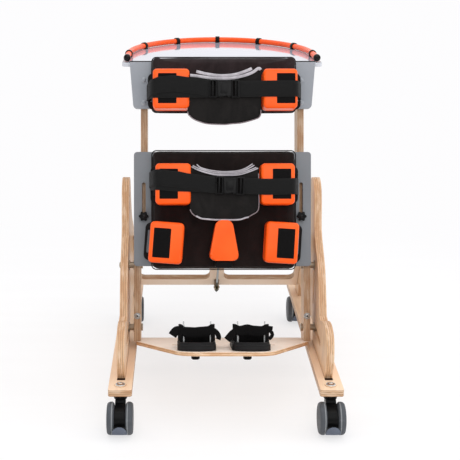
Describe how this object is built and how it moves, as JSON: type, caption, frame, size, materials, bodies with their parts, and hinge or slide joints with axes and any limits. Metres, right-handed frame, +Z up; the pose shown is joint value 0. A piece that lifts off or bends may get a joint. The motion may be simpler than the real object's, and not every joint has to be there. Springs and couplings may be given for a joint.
{
  "type": "prone standing frame",
  "caption": "Child's prone standing frame in birch plywood on four twin-wheel castors, with hip and chest pads, orange side supports, belts, a tray with an orange rail and sliding foot holders.",
  "frame": {"origin": "bottom centre of the bounding box, on the floor", "axes": "+Z up, +X to the user's right, the user stands on the -Y side and leans towards +Y"},
  "size_m": [0.539, 0.9256, 0.8093],
  "materials": {
    "plywood": "clear lacquered birch",
    "grey_board": "satin laminate",
    "tray_sheet": "glossy",
    "dark_fabric": "woven",
    "orange_foam": "moulded foam skin",
    "orange_tube": "glossy",
    "black_plastic": "satin",
    "black_steel": "satin",
    "steel": "bright",
    "webbing": "woven",
    "zinc": "zinc plated",
    "grey_tyre": "satin",
    "pedal_grey": "satin"
  },
  "bodies": {
    "base": {"runner_left": "plywood", "runner_right": "plywood", "side_plate_left": "plywood", "side_plate_right": "plywood", "rear_cross_board": "plywood", "strut_fork": "black_steel"},
    "castor_front_left": {"castor_housing_front_left": "black_plastic"},
    "wheels_front_left": {"castor_wheels_front_left": "grey_tyre"},
    "pedal_front_left": {"brake_pedal_front_left": "pedal_grey"},
    "castor_front_right": {"castor_housing_front_right": "black_plastic"},
    "wheels_front_right": {"castor_wheels_front_right": "grey_tyre"},
    "pedal_front_right": {"brake_pedal_front_right": "pedal_grey"},
    "castor_rear_left": {"castor_housing_rear_left": "black_plastic"},
    "wheels_rear_left": {"castor_wheels_rear_left": "grey_tyre"},
    "pedal_rear_left": {"brake_pedal_rear_left": "pedal_grey"},
    "castor_rear_right": {"castor_housing_rear_right": "black_plastic"},
    "wheels_rear_right": {"castor_wheels_rear_right": "grey_tyre"},
    "pedal_rear_right": {"brake_pedal_rear_right": "pedal_grey"},
    "slide_bolts": {"lower_slide_bolt_left": "zinc", "lower_slide_bolt_right": "zinc"},
    "frame": {"upper_slide_bolt_left": "zinc", "upper_slide_bolt_right": "zinc", "upright_left": "plywood", "upright_right": "plywood", "hip_panel": "grey_board", "hip_pad": "dark_fabric", "footboard": "plywood", "strut_bracket": "black_steel", "hip_buckle": "black_plastic", "hip_belt_pad": "dark_fabric"},
    "strut_rod": {"strut_rod": "steel"},
    "strut_cylinder": {"strut_cylinder": "black_steel"},
    "chest_unit": {"mast_left": "plywood", "mast_right": "plywood", "chest_board": "grey_board", "chest_pad": "dark_fabric", "tray_board": "grey_board", "tray_top": "tray_sheet", "tray_rail": "orange_tube", "chest_buckle": "black_plastic", "chest_belt_pad": "dark_fabric"},
    "knob_left": {"star_knob_left": "black_plastic"},
    "chest_support_left": {"chest_support_left": "orange_foam", "chest_belt_left": "webbing"},
    "hip_support_left": {"hip_support_left": "orange_foam", "hip_belt_left": "webbing"},
    "knee_support_left": {"knee_support_left": "orange_foam"},
    "foot_left": {"foot_holder_left": "black_plastic", "foot_strap_left": "webbing"},
    "foot_knob_left": {"foot_knob_left": "black_plastic"},
    "knob_right": {"star_knob_right": "black_plastic"},
    "chest_support_right": {"chest_support_right": "orange_foam", "chest_belt_right": "webbing"},
    "hip_support_right": {"hip_support_right": "orange_foam", "hip_belt_right": "webbing"},
    "knee_support_right": {"knee_support_right": "orange_foam"},
    "foot_right": {"foot_holder_right": "black_plastic", "foot_strap_right": "webbing"},
    "foot_knob_right": {"foot_knob_right": "black_plastic"},
    "abductor": {"abductor": "orange_foam"}
  },
  "joints": [
    {"name": "swivel_front_left", "type": "hinge", "parent": "base", "child": "castor_front_left", "pos_m": [-0.24, -0.39532, 0.08], "axis": [0, 0, 1], "continuous": true},
    {"name": "roll_front_left", "type": "hinge", "parent": "castor_front_left", "child": "wheels_front_left", "pos_m": [-0.24, -0.42532, 0.0375], "axis": [1, 0, 0], "continuous": true},
    {"name": "brake_front_left", "type": "hinge", "parent": "castor_front_left", "child": "pedal_front_left", "pos_m": [-0.24, -0.42532, 0.0375], "axis": [1, 0, 0], "range_deg": [0, 12]},
    {"name": "swivel_front_right", "type": "hinge", "parent": "base", "child": "castor_front_right", "pos_m": [0.24, -0.39532, 0.08], "axis": [0, 0, 1], "continuous": true},
    {"name": "roll_front_right", "type": "hinge", "parent": "castor_front_right", "child": "wheels_front_right", "pos_m": [0.24, -0.42532, 0.0375], "axis": [1, 0, 0], "continuous": true},
    {"name": "brake_front_right", "type": "hinge", "parent": "castor_front_right", "child": "pedal_front_right", "pos_m": [0.24, -0.42532, 0.0375], "axis": [1, 0, 0], "range_deg": [0, 12]},
    {"name": "swivel_rear_left", "type": "hinge", "parent": "base", "child": "castor_rear_left", "pos_m": [-0.24, 0.29668, 0.08], "axis": [0, 0, 1], "continuous": true},
    {"name": "roll_rear_left", "type": "hinge", "parent": "castor_rear_left", "child": "wheels_rear_left", "pos_m": [-0.24, 0.26668, 0.0375], "axis": [1, 0, 0], "continuous": true},
    {"name": "brake_rear_left", "type": "hinge", "parent": "castor_rear_left", "child": "pedal_rear_left", "pos_m": [-0.24, 0.26668, 0.0375], "axis": [1, 0, 0], "range_deg": [0, 12]},
    {"name": "swivel_rear_right", "type": "hinge", "parent": "base", "child": "castor_rear_right", "pos_m": [0.24, 0.29668, 0.08], "axis": [0, 0, 1], "continuous": true},
    {"name": "roll_rear_right", "type": "hinge", "parent": "castor_rear_right", "child": "wheels_rear_right", "pos_m": [0.24, 0.26668, 0.0375], "axis": [1, 0, 0], "continuous": true},
    {"name": "brake_rear_right", "type": "hinge", "parent": "castor_rear_right", "child": "pedal_rear_right", "pos_m": [0.24, 0.26668, 0.0375], "axis": [1, 0, 0], "range_deg": [0, 12]},
    {"name": "lower_bolts_slide", "type": "slide", "parent": "base", "child": "slide_bolts", "axis": [0, -1, 0], "range_m": [0, 0.0605]},
    {"name": "tilt", "type": "hinge", "parent": "slide_bolts", "child": "frame", "pos_m": [0, -0.16232, 0.154], "axis": [-1, 0, 0], "range_deg": [0, 25]},
    {"name": "strut_swivel", "type": "hinge", "parent": "base", "child": "strut_rod", "pos_m": [0, 0.19268, 0.132], "axis": [1, 0, 0], "range_deg": [0, 1.4]},
    {"name": "strut_stroke", "type": "slide", "parent": "strut_rod", "child": "strut_cylinder", "axis": [0, 0.7165, -0.6976], "range_m": [0, 0.0665]},
    {"name": "chest_height", "type": "slide", "parent": "frame", "child": "chest_unit", "axis": [0, 0.284, 0.9588], "range_m": [0, 0.079]},
    {"name": "star_knob_turn_left", "type": "hinge", "parent": "chest_unit", "child": "knob_left", "pos_m": [-0.1925, -0.12477, 0.42969], "axis": [0, 0.9588, -0.284], "continuous": true},
    {"name": "chest_support_left_width", "type": "slide", "parent": "chest_unit", "child": "chest_support_left", "axis": [-1, 0, 0], "range_m": [0, 0.02]},
    {"name": "hip_support_left_width", "type": "slide", "parent": "frame", "child": "hip_support_left", "axis": [-1, 0, 0], "range_m": [0, 0.02]},
    {"name": "knee_support_left_width", "type": "slide", "parent": "frame", "child": "knee_support_left", "axis": [-1, 0, 0], "range_m": [0, 0.02]},
    {"name": "foot_spread_left", "type": "slide", "parent": "frame", "child": "foot_left", "axis": [-1, 0, 0], "range_m": [0, 0.04]},
    {"name": "foot_knob_turn_left", "type": "hinge", "parent": "foot_left", "child": "foot_knob_left", "pos_m": [-0.062, -0.28195, 0.12686], "axis": [0, 0.284, 0.9588], "continuous": true},
    {"name": "star_knob_turn_right", "type": "hinge", "parent": "chest_unit", "child": "knob_right", "pos_m": [0.1925, -0.12477, 0.42969], "axis": [0, 0.9588, -0.284], "continuous": true},
    {"name": "chest_support_right_width", "type": "slide", "parent": "chest_unit", "child": "chest_support_right", "axis": [1, 0, 0], "range_m": [0, 0.02]},
    {"name": "hip_support_right_width", "type": "slide", "parent": "frame", "child": "hip_support_right", "axis": [1, 0, 0], "range_m": [0, 0.02]},
    {"name": "knee_support_right_width", "type": "slide", "parent": "frame", "child": "knee_support_right", "axis": [1, 0, 0], "range_m": [0, 0.02]},
    {"name": "foot_spread_right", "type": "slide", "parent": "frame", "child": "foot_right", "axis": [1, 0, 0], "range_m": [0, 0.04]},
    {"name": "foot_knob_turn_right", "type": "hinge", "parent": "foot_right", "child": "foot_knob_right", "pos_m": [0.062, -0.28195, 0.12686], "axis": [0, 0.284, 0.9588], "continuous": true},
    {"name": "abductor_height", "type": "slide", "parent": "frame", "child": "abductor", "axis": [0, -0.284, -0.9588], "range_m": [0, 0.018]}
  ],
  "couplings": [
    {"joint": "lower_bolts_slide", "follows": "tilt", "m_per_rad": 0.1368},
    {"joint": "strut_swivel", "follows": "tilt", "ratio": 0.052},
    {"joint": "strut_stroke", "follows": "tilt", "m_per_rad": 0.151}
  ]
}
